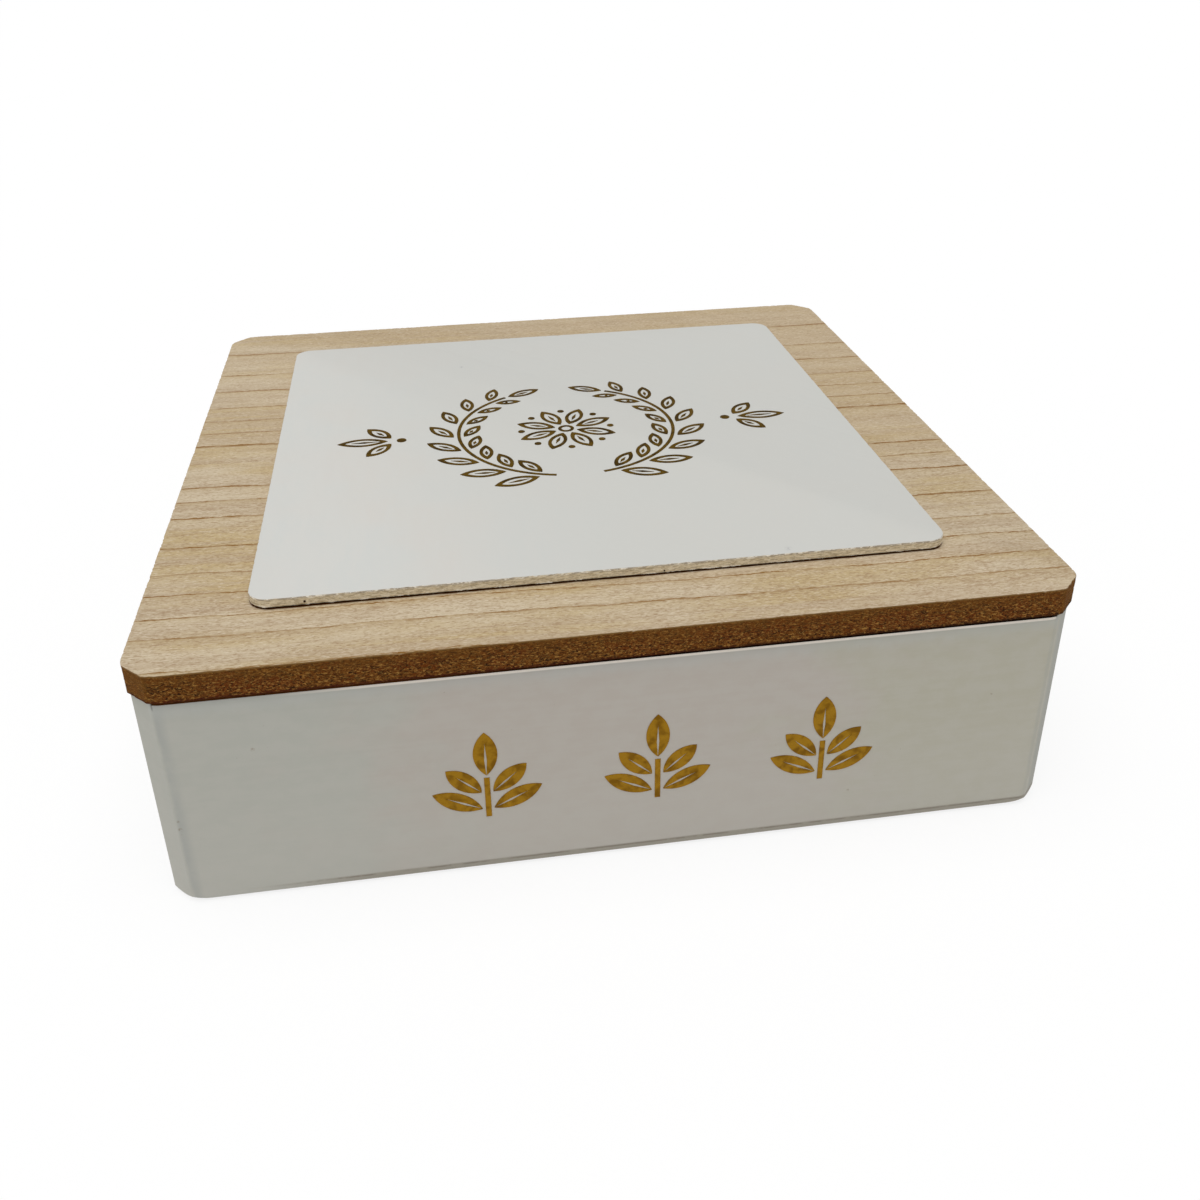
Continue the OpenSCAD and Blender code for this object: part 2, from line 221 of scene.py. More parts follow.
wallPaint = {
    "left": tint(192, 192, 182),
    "middle": tint(196, 188, 178),
    "right": tint(192, 188, 171),
    "pale": tint(203, 200, 191),
    "worn": tint(140, 118, 92),
    "joint": tint(172, 174, 169),
    "paintedLightBand": tint(202, 205, 200),  # painted light below the arris, where the lid's shadow falls
    "foot": tint(170, 164, 151),  # painted shade along the foot
    "sole": tint(148, 141, 129),
    "turned": tint(180, 180, 171),  # painted shade on the cut corner at the right
    "flatReach": 232,  # x minus y on that corner, in millimetres
    "nick": tint(70, 64, 58),
    # painted highlight along the front's upper arris
    "arris": tint(255, 247, 234),
    "raw": tint(98, 62, 30),
    "rawDark": tint(36, 15, 4),
    "rawPale": tint(140, 92, 48),
    "roughness": 0.6,
    "shine": 0.22,
    # the rest is in millimetres; a zone runs from its first place along the front to its last
    "leftZone": (-90, -30),
    "rightZone": (30, 80),
    "sway": 120,
    "patch": (26, 26, 18),
    "mottle": (7, 7, 4),
    "lineLength": 70,
    "lineHeight": 1.1,  # from one brush line to the next
    "lineDepth": 0.012,
    "stipple": 0.7,
    "stippleDepth": 0.018,
    "jointReach": 3.4,  # how far the joint at the left shows through
    "footTop": 3.2,
    "soleTop": 1.2,
    "bareEdge": 2.2,  # width of the brim on the bare tops, which carries painted shade
    # small brown chips and specks: place in millimetres, then size
    "chips": (
        ((-113.1, -118.3, 24.4), 0.8),
        ((-113.3, -118.3, 27.0), 0.55),
        ((-113.0, -118.3, 22.6), 0.4),
        ((-92.4, -118.5, 47.0), 0.7),
        ((61.0, -118.5, 12.5), 0.5),
        ((98.5, -118.5, 40.0), 0.45),
    ),
}


def paintFinish(name, look, outside):
    paint = Finish(name)
    x, y, z = paint.places()
    patches = paint.cloud(look["patch"], detail=3, rough=0.6)
    mottle = paint.cloud(look["mottle"], detail=3, rough=0.6, shift=(8, 1, 3))
    sway = x + (patches - 0.5) * look["sway"]
    tone = paint.blend(look["left"], look["middle"], paint.fade(sway, *look["leftZone"]))
    tone = paint.blend(tone, look["right"], paint.fade(sway, *look["rightZone"]))
    long = look["lineLength"]
    strokes = paint.cloud((long, long, look["lineHeight"]), detail=3, rough=0.6, shift=(4, 9, 2))
    stipple = paint.cloud([look["stipple"]] * 3, detail=2)
    tone = paint.blend(tone, look["pale"], paint.fade(strokes * 0.3 + mottle * 0.7, 0.38, 0.62) * 0.3)
    # painted light: the paint is paler towards the bottom, where light comes back from the floor
    tone = paint.blend(tone, look["pale"], paint.fade(z, 45, 3) * 0.4)
    specks = paint.fade(paint.cloud((1.6, 1.6, 1.2), detail=1, shift=(30, 3, 8)), 0.78, 0.82)
    tone = paint.blend(tone, look["worn"], specks * 0.3)
    if outside:
        tone = markWalls(paint, x, y, z, tone)
    level = strokes * look["lineDepth"] + stipple * look["stippleDepth"]
    return paint.surface({
        "Base Color": tone,
        "Roughness": look["roughness"] + (patches - 0.5) * 0.16 + (stipple - 0.5) * 0.1,
        "Normal": paint.bump(level, 1.0),
        "Specular IOR Level": look["shine"],
    })


def markWalls(paint, x, y, z, tone):
    # the joints beside the front board show through the paint, a few chips are out of it and the tops of
    # all walls are bare; a painted highlight runs along its upper arris, painted light lies below it where
    # the lid's shadow falls, and painted shade lies on the cut corner at the right, along the foot and on
    # the front brim of the bare tops
    look = wallPaint
    low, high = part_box("front_wall")
    left, right = low.x / mm, high.x / mm
    face, brink = low.y / mm, high.z / mm
    front = 1 - paint.fade(y, face + 0.6, face + 1.2)
    uneven = paint.cloud((5, 5, 7), detail=3, rough=0.6, shift=(1, 2, 6))
    wander = (uneven - 0.5) * 0.9
    past = x + wander - left
    joint = paint.fade(past, -0.6, 0.5) * (1 - paint.fade(past, 0.6, look["jointReach"]))
    joint = joint + (1 - paint.fade(abs(x + wander - right), 0.1, 1.0)) * 0.5
    ragged = 0.4 + 0.6 * paint.fade(uneven, 0.2, 0.6)
    tone = paint.blend(tone, look["joint"], joint * front * ragged * 0.6)
    nick = (1 - paint.fade(abs(x + wander * 0.3 - left), 0.08, 0.3)) * paint.fade(z, 60.4, 61.8)
    tone = paint.blend(tone, look["nick"], nick * front * 0.8)
    # painted shade on the cut corner at the right, which faces away from the light
    turned = paint.fade(x - y, look["flatReach"] - 0.6, look["flatReach"] - 0.15)
    tone = paint.blend(tone, look["turned"], turned * paint.fade(x, right + 0.3, right + 3.5))
    # painted light: the front is paler below the arris, where the lid's shadow falls
    paintedLightBand = paint.fade(z + (uneven - 0.5) * 4, brink - 5, brink - 1.5) * front
    tone = paint.blend(tone, look["paintedLightBand"], paintedLightBand * 0.35)
    # painted highlight along the front's upper arris, fading out towards the left
    paintedHighlight = paint.fade(z, brink - 0.9, brink - 0.55)
    paintedHighlight = paintedHighlight * (1 - paint.fade(abs(x), right - 0.8, right))
    tone = paint.blend(tone, look["arris"], paintedHighlight * front * paint.fade(x, left + 20, left + 60))
    # painted shade along the foot, darkest below soleTop, fading out towards the left; a ragged darker
    # line runs along its top
    height = z + wander * 0.25
    reached = paint.fade(x, left + 12, left + 50)
    top = look["footTop"]
    tone = paint.blend(tone, look["foot"], (1 - paint.fade(height, top - 0.6, top)) * reached)
    border = paint.fade(height, top - 1.1, top - 0.8) * (1 - paint.fade(height, top - 0.7, top - 0.2))
    tone = paint.blend(tone, look["sole"], border * paint.fade(uneven, 0.35, 0.55) * reached)
    sole = 1 - paint.fade(z, look["soleTop"] - 0.3, look["soleTop"])
    tone = paint.blend(tone, look["sole"], sole * reached)
    for place, size in look["chips"]:
        edge = paint.cloud((0.5, 0.5, 0.5), detail=2, shift=(place[2], 0, 0))
        chip = paint.spot(place, size, size * 0.6) * paint.fade(edge, 0.4, 0.55)
        tone = paint.blend(tone, look["worn"], chip * 0.5)
    tops = paint.fade(paint.facing(), 0.6, 0.8) * paint.fade(z, brink - 2, brink - 1)
    grain = paint.cloud((0.8, 0.8, 0.8))
    bare = paint.blend(look["raw"], look["rawDark"], paint.fade(grain, 0.4, 0.6))
    # painted shade in the gap under the lid: the front brim of the bare tops goes from pale at the left to
    # dark at the right
    shadedBrim = paint.blend(look["rawPale"], look["rawDark"], paint.fade(x, -70, 10))
    bare = paint.blend(shadedBrim, bare, paint.fade(y, face + 0.6, face + look["bareEdge"]))
    return paint.blend(tone, bare, tops)


# the lid's core: raw brown fibreboard, rough where it was sawn and smooth where it was pressed

coreBoard = {
    "brown": tint(109, 60, 13),
    "red": tint(107, 51, 9),
    "dark": tint(44, 17, 1),
    # painted shade in the gap under the lid, darkest at the right
    "shadeBrown": tint(66, 18, 6),
    "darkestShade": tint(22, 5, 1),
    "tan": tint(200, 149, 76),
    "dense": tint(118, 76, 25),
    "corner": tint(120, 78, 24),
    "pressed": tint(158, 120, 80),
    "pressedDark": tint(124, 88, 52),
    "roughness": 0.9,
    # grains and the depths of the relief, in millimetres
    "strand": (1.6, 1.6, 0.5),
    "strandDepth": 0.12,
    "wormDepth": 0.05,
    "fleck": (1.0, 1.0, 0.4),
    "fleckDepth": 0.08,
    "pit": (0.75, 0.75, 0.42),
    "pitDepth": 0.12,
    "hair": (2.4, 1.6, 2),
    "denseFrom": 3.2,  # above the lower face
    "shadeTop": 0.8,
    "darkeningFrom": -60,  # where along the front it starts to get darker
    "darkeningTo": 110,
}


def coreFinish():
    core = Finish("rawFibreboard")
    x, y, z = core.places()
    low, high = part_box("lid_board")
    look = coreBoard
    under = low.z / mm
    strands = core.cloud(look["strand"], detail=3, rough=0.62, twist=0.9)
    curls = core.cloud([s * 0.8 for s in look["strand"]], detail=1, shift=(7, 1, 5), twist=1.4)
    flecks = core.cloud(look["fleck"], detail=2, shift=(1, 6, 5), twist=0.8)
    pits = core.cloud(look["pit"], detail=2, rough=0.6, shift=(2, 8, 3))
    tone = core.blend(look["brown"], look["red"], core.fade(core.cloud((9, 9, 5)), 0.42, 0.6))
    tone = core.blend(tone, look["dark"], core.fade(strands, 0.54, 0.36))
    worms = 1 - core.fade(abs(curls - 0.5), 0.01, 0.06)
    tone = core.blend(tone, look["tan"], worms * 0.34)
    tone = core.blend(tone, look["tan"], core.fade(flecks, 0.54, 0.66) * 0.6)
    tone = core.blend(tone, look["dark"], core.fade(pits, 0.54, 0.66) * 0.9)
    # the board is denser and smoother towards the veneer
    layers = (core.cloud((14, 14, 3), detail=2, shift=(0, 4, 9)) - 0.5) * 3
    dense = core.fade(z + layers, under + look["denseFrom"], high.z / mm)
    tone = core.blend(tone, look["dense"], dense * 0.4)
    # the cut corners were sanded, so they are smoother
    reach = (high.x + high.y) / mm - coreShape["cut"]
    sanded = core.fade(abs(x) + abs(y), reach - 1.2, reach - 0.3)
    tone = core.blend(tone, look["corner"], sanded * 0.45)
    # painted shade along the lower edge, where the gap under the lid lies, darker to the right
    shadeBrown = 1 - core.fade(z + (flecks - 0.5), under + 0.2, under + look["shadeTop"])
    gapShade = core.blend(look["shadeBrown"], look["darkestShade"], core.fade(x, look["darkeningFrom"], look["darkeningTo"]))
    tone = core.blend(tone, gapShade, shadeBrown * 0.75)
    # the pressed face looks down
    face = core.fade(core.facing(), -0.6, -0.9)
    hairs = core.cloud(look["hair"], detail=4, rough=0.7, twist=1.2, shift=(3, 3, 3))
    smooth = core.blend(look["pressed"], look["pressedDark"], core.fade(hairs, 0.45, 0.7) * 0.7)
    tone = core.blend(tone, smooth, face)
    relief = strands * look["strandDepth"] + worms * look["wormDepth"]
    relief = relief + flecks * look["fleckDepth"] - pits * look["pitDepth"]
    return core.surface({
        "Base Color": tone,
        "Roughness": look["roughness"] - face * 0.22,
        "Normal": core.bump(relief * (1 - face * 0.8), 1.0),
        "Specular IOR Level": 0.12,
    })


# the veneer on the lid: pale wood whose growth lines run from left to right

veneer = {
    "pale": tint(200, 184, 157),
    "grey": tint(184, 165, 138),
    "yellow": tint(188, 167, 127),
    # painted shade towards the back and the right
    "far": tint(184, 163, 131),
    "line": tint(132, 94, 44),
    "pore": tint(140, 106, 70),
    "fleck": tint(218, 205, 182),
    "side": tint(126, 92, 48),
    # painted shadow under the plaque
    "under": tint(84, 44, 12),
    "roughness": 0.65,
    # how far each growth line lies from the lid's middle, in millimetres
    "rings": (
        -121, -106.5, -97.3, -86, -75.3, -60.5, -42.5, -32.2,
        -23, 8.5, 18.5, 28.8, 40.8, 56.8, 73, 96,
    ),
    "slope": 0.026,  # the lines come forward to the right
    "reach": 130,  # the rings are counted this far on both sides
    # grains along and across the lines and the depths of the relief, in millimetres
    "stroke": (4.5, 0.36, 50),
    "strokeDepth": 0.03,
    "fineStroke": (1.0, 0.28, 50),
    "fineDepth": 0.02,
    "lineDepth": 0.02,
    "paleFleck": (1.3, 0.35, 50),
}


def ringStops(look, reach):
    # the count of growth lines passed, as a share of them all
    count = len(look["rings"]) + 1
    stops = [(0, 0)]
    for number, place in enumerate(look["rings"]):
        stops.append(((place + reach) / (2 * reach), (number + 1) / count))
    return stops + [(1, 1)], count


def plaqueRim(finish, x, y):
    # how far a place lies outside the plaque's outline, in millimetres
    low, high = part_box("plaque")
    corner = plaqueShape["corner"]
    middle = (low + high) / 2 / mm
    half = (high - low) / 2 / mm
    farX = abs(x - middle.x) - (half.x - corner)
    farY = abs(y - middle.y) - (half.y - corner)
    outX = finish.node("Math", {"operation": "MAXIMUM"}, {0: farX, 1: 0.0})
    outY = finish.node("Math", {"operation": "MAXIMUM"}, {0: farY, 1: 0.0})
    within = farX.maths("MINIMUM", farX.maths("MAXIMUM", farX, farY), 0.0)
    return (outX * outX + outY * outY) ** 0.5 + within - corner


def veneerFinish():
    wood = Finish("woodVeneer")
    x, y, z = wood.places()
    look = veneer
    reach = look["reach"]
    drift = (wood.cloud((60, 400, 400), detail=1, shift=(3, 0, 0)) - 0.5) * 3
    straight = y + x * look["slope"] + drift
    waver = (wood.cloud((13, 9, 50), detail=2, shift=(0, 5, 0)) - 0.5) * 1.8
    ragged = (wood.cloud((1.8, 0.9, 50), detail=2, shift=(8, 2, 0)) - 0.5) * 1.1
    across = straight + waver + ragged
    stops, count = ringStops(look, reach)
    share = (across + reach) / (2 * reach)
    passed = wood.node("ValToRGB", {"stops": stops}, {"Fac": share}, "Color") * count
    saw = passed.maths("FRACT", passed)
    number = passed.maths("FLOOR", passed)
    ring = wood.node("TexWhiteNoise", {"noise_dimensions": "1D"}, {"W": number}, "Value")
    # from here on the grain follows the growth lines
    wood.at = wood.node("CombineXYZ", {}, {"X": x, "Y": straight + waver * 0.4, "Z": z})
    broken = wood.cloud((7, 2.5, 50), detail=3, shift=(1, 7, 0))
    areas = wood.cloud((60, 16, 50), shift=(2, 2, 0))
    tone = wood.blend(look["pale"], look["yellow"], wood.fade(areas, 0.4, 0.65))
    bands = wood.cloud((110, 5, 50), detail=3, rough=0.6, shift=(9, 4, 0))
    tone = wood.blend(tone, look["grey"], wood.fade(bands, 0.42, 0.62) * 0.8)
    # painted shade: darker towards the back and the right, away from the light
    tone = wood.blend(tone, look["far"], wood.fade(y + x * 0.7, -10, 115) * 0.6)
    tone = wood.blend(tone, look["yellow"], saw ** 4 * 0.6)
    strokes = wood.cloud(look["stroke"], detail=2, rough=0.6)
    fine = wood.cloud(look["fineStroke"], detail=1, shift=(6, 1, 0))
    flecks = wood.cloud(look["paleFleck"], detail=1, shift=(2, 9, 0))
    # pores lie closer together in some bands, and towards the front
    porous = (wood.cloud((160, 4, 50), detail=1, shift=(5, 5, 0)) - 0.5) * 0.16
    crowd = wood.fade(y, 60, -110) * 0.04 + porous
    tone = wood.blend(tone, look["pore"], wood.fade(strokes + crowd, 0.55, 0.7) * 0.36)
    tone = wood.blend(tone, look["pore"], wood.fade(fine + crowd, 0.55, 0.68) * 0.46)
    tone = wood.blend(tone, look["fleck"], wood.fade(flecks, 0.55, 0.7) * 0.44)
    late = wood.fade(saw, 0.93, 0.975) * (0.4 + 0.6 * wood.fade(broken, 0.36, 0.56))
    dashes = wood.fade(wood.cloud((4, 0.5, 50), detail=2, shift=(3, 3, 0)), 0.4, 0.56)
    late = late * (1 - wood.fade(y, -60, -100) * (1 - dashes) * 0.8)
    late = late * (1 - wood.fade(y, 0, 115) * 0.45)
    tone = wood.blend(tone, look["line"], (late + saw ** 14 * 0.25) * (0.65 + 0.35 * ring))
    # painted shadow: the veneer is dark under the plaque's edge, with a ragged border, and its sawn side
    # took on the colour of the core
    uneven = wood.cloud((9, 9, 50), detail=2, rough=0.6, shift=(7, 3, 1))
    rim = plaqueRim(wood, x, y) + (strokes - 0.5) * 0.6 + (uneven - 0.5) * 0.9
    paintedShadow = 1 - wood.fade(rim + wood.fade(x, -70, 20) * 0.12, -0.3, 0.25)
    tone = wood.blend(tone, look["under"], paintedShadow)
    tone = wood.blend(look["side"], tone, wood.fade(wood.facing(), 0.25, 0.6))
    relief = strokes * look["strokeDepth"] + fine * look["fineDepth"] + late * look["lineDepth"]
    return wood.surface({
        "Base Color": tone,
        "Roughness": look["roughness"] + (strokes - 0.5) * 0.3 - paintedShadow * 0.4,
        "Normal": wood.bump(1 - relief, 1.0),
        "Specular IOR Level": 0.12,
    })


# the plaque: rolled white paint on a thin board with a sawn, unpainted edge

plaqueLook = {
    "white": tint(209, 208, 203),
    "cool": tint(206, 207, 203),
    "warm": tint(209, 206, 200),
    # painted shade away from the front left
    "far": tint(200, 200, 195),
    "edge": tint(222, 209, 181),
    "edgeDark": tint(164, 148, 118),
    "edgePale": tint(244, 238, 224),
    "edgeShade": tint(160, 150, 140),
    # painted shade in the gap under the plaque; the dark dots take the same brown
    "shadeBrown": tint(44, 20, 7),
    "smudge": tint(170, 170, 170),
    # painted shade on the underside
    "under": tint(44, 20, 7),
    "roughness": 0.6,
    # grey smudges and dark dots: place in millimetres, then size
    "smudges": (((48.2, -92.6, 74.9), 1.6), ((-31.0, 61.0, 74.9), 1.2)),
    "dots": (((-78.3, -95.0, 73.3), 0.45), ((14.0, -95.0, 72.9), 0.35)),
    # grains and the depths of the relief, in millimetres
    "patch": (34, 34, 34),
    "stipple": (0.55, 0.55, 0.55),
    "stippleDepth": 0.018,
    "roller": (2.5, 14, 10),
    "rollerDepth": 0.014,
    "grain": (1.8, 1.8, 0.34),
    "grainDepth": 0.08,
    "crumb": (0.6, 0.6, 0.4),
    "torn": (1.6, 1.6, 0.6),
    "drip": (2.4, 2.4, 0.6),
}


def plaqueFinish():
    board = Finish("plaquePaint")
    x, y, z = board.places()
    look = plaqueLook
    low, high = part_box("plaque")
    under, top = low.z / mm, high.z / mm
    patches = board.cloud(look["patch"], detail=3)
    stipple = board.cloud(look["stipple"], detail=2)
    roller = board.cloud(look["roller"], detail=2, shift=(4, 4, 4))
    paint = board.blend(look["cool"], look["warm"], board.fade(patches, 0.36, 0.64))
    paint = board.blend(paint, look["white"], board.fade(roller * 0.6 + stipple * 0.4, 0.4, 0.6) * 0.6)
    # painted shade: greyer away from the front left, where the light is
    paint = board.blend(paint, look["far"], board.fade(x + y * 0.3, -110, -10) * 0.8)
    for place, size in look["smudges"]:
        ragged = board.cloud((0.6, 0.6, 0.6), detail=3, shift=(place[0], 0, 0))
        smudge = board.spot(place, size, size) * board.fade(ragged, 0.4, 0.6)
        paint = board.blend(paint, look["smudge"], smudge * 0.8)
    grain = board.cloud(look["grain"], detail=3, rough=0.65, twist=0.6)
    crumbs = board.cloud(look["crumb"], detail=2, shift=(5, 1, 1))
    raw = board.blend(look["edge"], look["edgeDark"], board.fade(grain, 0.44, 0.6) * 0.75)
    raw = board.blend(raw, look["edgePale"], board.fade(crumbs, 0.55, 0.68) * 0.35)
    # a fine shadow under the paint's edge, with pale chips in it
    rim = board.fade(z + (crumbs - 0.5) * 0.5, top - 0.75, top - 0.4)
    shade = rim * board.fade(patches * 0.4 + grain * 0.6, 0.38, 0.5)
    raw = board.blend(raw, look["edgeShade"], shade * 0.65)
    torn = board.cloud(look["torn"], detail=3, rough=0.7, shift=(6, 2, 7))
    raw = board.blend(raw, look["edgePale"], rim * board.fade(torn, 0.53, 0.6))
    # painted shade along the foot of the edge, where the gap under the plaque lies
    foot = board.fade(z + (grain - 0.5) * 0.5, under + 0.3, under + 0.06)
    raw = board.blend(raw, look["shadeBrown"], foot * 0.9)
    drips = board.cloud(look["drip"], detail=3, rough=0.7, shift=(3, 8, 0))
    drips = board.fade(drips, 0.53, 0.6) * (1 - board.fade(z, under + 0.3, under + 0.8))
    raw = board.blend(raw, look["edgePale"], drips)
    # the dots are real dark marks, in the same brown as the painted shade
    for place, size in look["dots"]:
        raw = board.blend(raw, look["shadeBrown"], board.spot(place, size, size * 0.5))
    up = board.facing()
    painted = board.fade(up + (crumbs - 0.5) * 0.3, 0.42, 0.6)
    tone = board.blend(raw, paint, painted)
    # painted shade: the underside is nearly black, as seen in the gap under the plaque
    tone = board.blend(tone, look["under"], board.fade(up, -0.5, -0.8))
    level = stipple * look["stippleDepth"] + roller * look["rollerDepth"]
    level = level + (1 - painted) * grain * look["grainDepth"]
    return board.surface({
        "Base Color": tone,
        "Roughness": look["roughness"] + (1 - painted) * 0.3 + (stipple - 0.5) * 0.1,
        "Normal": board.bump(level, 1.0),
        "Specular IOR Level": 0.1,
    })


# foils: gold on the front, a darker bronze on the plaque

goldFoil = {
    "bright": tint(146, 108, 27),
    "dull": tint(114, 80, 16),
    "slanting": (1, 1, 1, 1),  # tint of what it mirrors at a slant
    "roughness": 0.36,
    "patch": 3.2,  # grain of its spots, in millimetres
}

bronzeFoil = {
    "bright": tint(88, 66, 6),
    "dull": tint(56, 40, 2),
    "slanting": (0.79, 0.7, 0.6, 1),
    "roughness": 0.5,
    "patch": 5.0,
}


# the same on both foils, in millimetres
foilRelief = {"grit": 0.35, "gritDepth": 0.010, "spotDepth": 0.03}


def foilFinish(name, look):
    foil = Finish(name)
    foil.places()
    spots = foil.cloud([look["patch"]] * 3, detail=2, rough=0.55, twist=0.4)
    grit = foil.cloud([foilRelief["grit"]] * 3, detail=2)
    relief = grit * foilRelief["gritDepth"] + spots * foilRelief["spotDepth"]
    tone = foil.blend(look["bright"], look["dull"], foil.fade(spots, 0.42, 0.66))
    tone = foil.blend(tone, look["dull"], foil.fade(grit, 0.5, 0.75) * 0.4)
    return foil.surface({
        "Base Color": tone,
        "Metallic": 1.0,
        "Specular Tint": look["slanting"],
        "Roughness": look["roughness"] + (grit - 0.5) * 0.25 + (spots - 0.5) * 0.2,
        "Normal": foil.bump(relief, 1.0),
    })


# brass of the hinges: rolled sheet, drawn wire and turned screws

brass = {
    "sheet": (tint(206, 184, 132), tint(178, 150, 98), 0.34),
    "wire": (tint(200, 176, 122), tint(168, 140, 88), 0.3),
    "screw": (tint(212, 192, 142), tint(158, 130, 80), 0.32),
    # grains and the depths of the relief, in millimetres
    "drawn": (6, 0.12, 0.12),
    "drawnDepth": 0.004,
    "age": (2.5, 2.5, 2.5),
    "ageDepth": 0.002,
}


def brassFinish(name, kind):
    bright, dull, roughness = brass[kind]
    metal = Finish(name)
    metal.places()
    drawn = metal.cloud(brass["drawn"], detail=2)
    age = metal.cloud(brass["age"], detail=3, rough=0.6, shift=(3, 1, 4))
    relief = drawn * brass["drawnDepth"] + age * brass["ageDepth"]
    tone = metal.blend(bright, dull, metal.fade(age, 0.45, 0.7) * 0.6)
    return metal.surface({
        "Base Color": tone,
        "Metallic": 1.0,
        "Roughness": roughness + (drawn - 0.5) * 0.2 + (age - 0.5) * 0.2,
        "Normal": metal.bump(relief, 1.0),
    })


# tape between the lid and the plaque: white cloth

tapeLook = {
    "white": tint(222, 219, 208),
    "shade": tint(184, 178, 160),
    "roughness": 0.8,
    "thread": 0.5,
}


def tapeFinish():
    tape = Finish("clothTape")
    x, y, z = tape.places()
    thread = tapeLook["thread"]
    warp = abs(tape.node("Math", {"operation": "SINE"}, {0: x * (math.pi / thread)}))
    weft = abs(tape.node("Math", {"operation": "SINE"}, {0: y * (math.pi / thread)}))
    weave = warp * weft
    tone = tape.blend(tapeLook["shade"], tapeLook["white"], tape.fade(weave, 0.05, 0.6))
    return tape.surface({
        "Base Color": tone,
        "Roughness": tapeLook["roughness"] + (weave - 0.5) * 0.1,
        "Normal": tape.bump(weave, 0.05),
    })


# loose fibres that stand off the sawn edge of the core

fibreLook = {
    "tan": tint(190, 146, 82),
    "brown": tint(122, 78, 34),
}


def fibreFinish():
    fibre = Finish("looseFibre")
    fibre.places()
    shade = fibre.cloud((3, 3, 3), detail=2)
    along = fibre.cloud((0.3, 0.3, 0.3), detail=1, shift=(5, 5, 5))
    tone = fibre.blend(fibreLook["brown"], fibreLook["tan"], fibre.fade(shade, 0.42, 0.58))
    return fibre.surface({
        "Base Color": tone,
        "Roughness": 0.85 + (along - 0.5) * 0.2,
        "Normal": fibre.bump(along, 0.01),
        "Specular IOR Level": 0.15,
    })


# shapes of the lid's boards, in millimetres

coreShape = {
    "cut": 6.5,  # how far each corner is cut back
    "bend": 9.1,  # radius of the bends beside the cut
    "step": 0.42,
    "rows": 14,
    "least": 0.02,  # how far the edge lies in where nothing is out of it
    "pit": 0.16,
    "pitSize": 0.9,
    "ridge": 0.12,
    "ridgeSize": 1.6,
}

veneerShape = {
    "levels": (0, 0.3, 0.44, 0.5),  # above the core
    "round": (0, 0, 0.02, 0.10),  # how far each level is rounded off
    "chip": 0.5,
    "chipSize": 1.1,
    "chipSpread": 6,
    "cornerChip": 0.5,
    "fuzz": 0.06,
    "fuzzSize": 0.7,
}

plaqueShape = {
    "corner": 5.5,
    "step": 0.45,
    "rows": 7,
    "least": 0.01,
    "tear": 0.22,
    "tearSize": 1.3,
    "chip": 0.9,
    "chipSize": 2.6,
    "paintEdge": 0.16,
    "round": (0.16, 0.05, 0.10),  # how far the top, the level below it and the foot are rounded
}

fibreShape = {
    "count": 420,
    "length": (0.5, 2.2),
    "thickness": 0.045,
    "inset": 0.09,
    "margin": 0.8,  # kept clear along the board's two faces
    "lift": 0.5,
    "bow": 0.25,
    "bends": 4,
    "seed": 7,
}


outerPaint = paintFinish("wallPaint", wallPaint, True)
innerPaint = paintFinish("innerPaint", {**wallPaint, "lineHeight": 2.0}, False)
core = coreFinish()
wood = veneerFinish()
plaquePaint = plaqueFinish()
gold = foilFinish("goldFoil", goldFoil)
bronze = foilFinish("bronzeFoil", bronzeFoil)
sheetBrass = brassFinish("sheetBrass", "sheet")
wireBrass = brassFinish("wireBrass", "wire")
screwBrass = brassFinish("screwBrass", "screw")
tape = tapeFinish()
fibre = fibreFinish()
print("tea box: finishes")


# each board and part gets its finish, and its edges are broken a little

partFinish = {
    "front_wall": (outerPaint, 0.5),
    "rear_wall": (outerPaint, 0.5),
    "left_wall": (outerPaint, 0.7),
    "right_wall": (outerPaint, 0.7),
    "base_panel": (innerPaint, 0.2),
    "front_divider": (innerPaint, 0.3),
    "rear_divider": (innerPaint, 0.3),
    "left_divider": (innerPaint, 0.3),
    "right_divider": (innerPaint, 0.3),
    "left_sprig": (gold, 0.03),
    "middle_sprig": (gold, 0.03),
    "right_sprig": (gold, 0.03),
    "plaque_tape": (tape, 0),
    "plaque_ornament": (bronze, 0.04),
}
for side in ("left", "right"):
    for leaf in ("box", "lid"):
        partFinish[f"{side}_hinge_{leaf}_leaf"] = (sheetBrass, 0.08)
        partFinish[f"{side}_hinge_{leaf}_screws"] = (screwBrass, 0.03)
    partFinish[f"{side}_hinge_pin"] = (wireBrass, 0.08)


bevelAngle = 20  # degrees; flatter edges are left as they are
sharpAngle = 50


def breakEdges(part, width, steps=3):
    edges = part.modifiers.new("brokenEdges", "BEVEL")
    edges.width = width * mm
    edges.segments = steps
    edges.limit_method = "ANGLE"
    edges.angle_limit = math.radians(bevelAngle)
    edges.harden_normals = True
    edges.use_clamp_overlap = True


def finishParts():
    for name, (material, edge) in partFinish.items():
        part = nodes[name]
        part.data.materials.clear()
        part.data.materials.append(material)
        if edge:
            breakEdges(part, edge)


finishParts()
print("tea box: walls, dividers, foils and hinges finished")


# boards with sawn edges: a band of small faces round the board, closed above and below

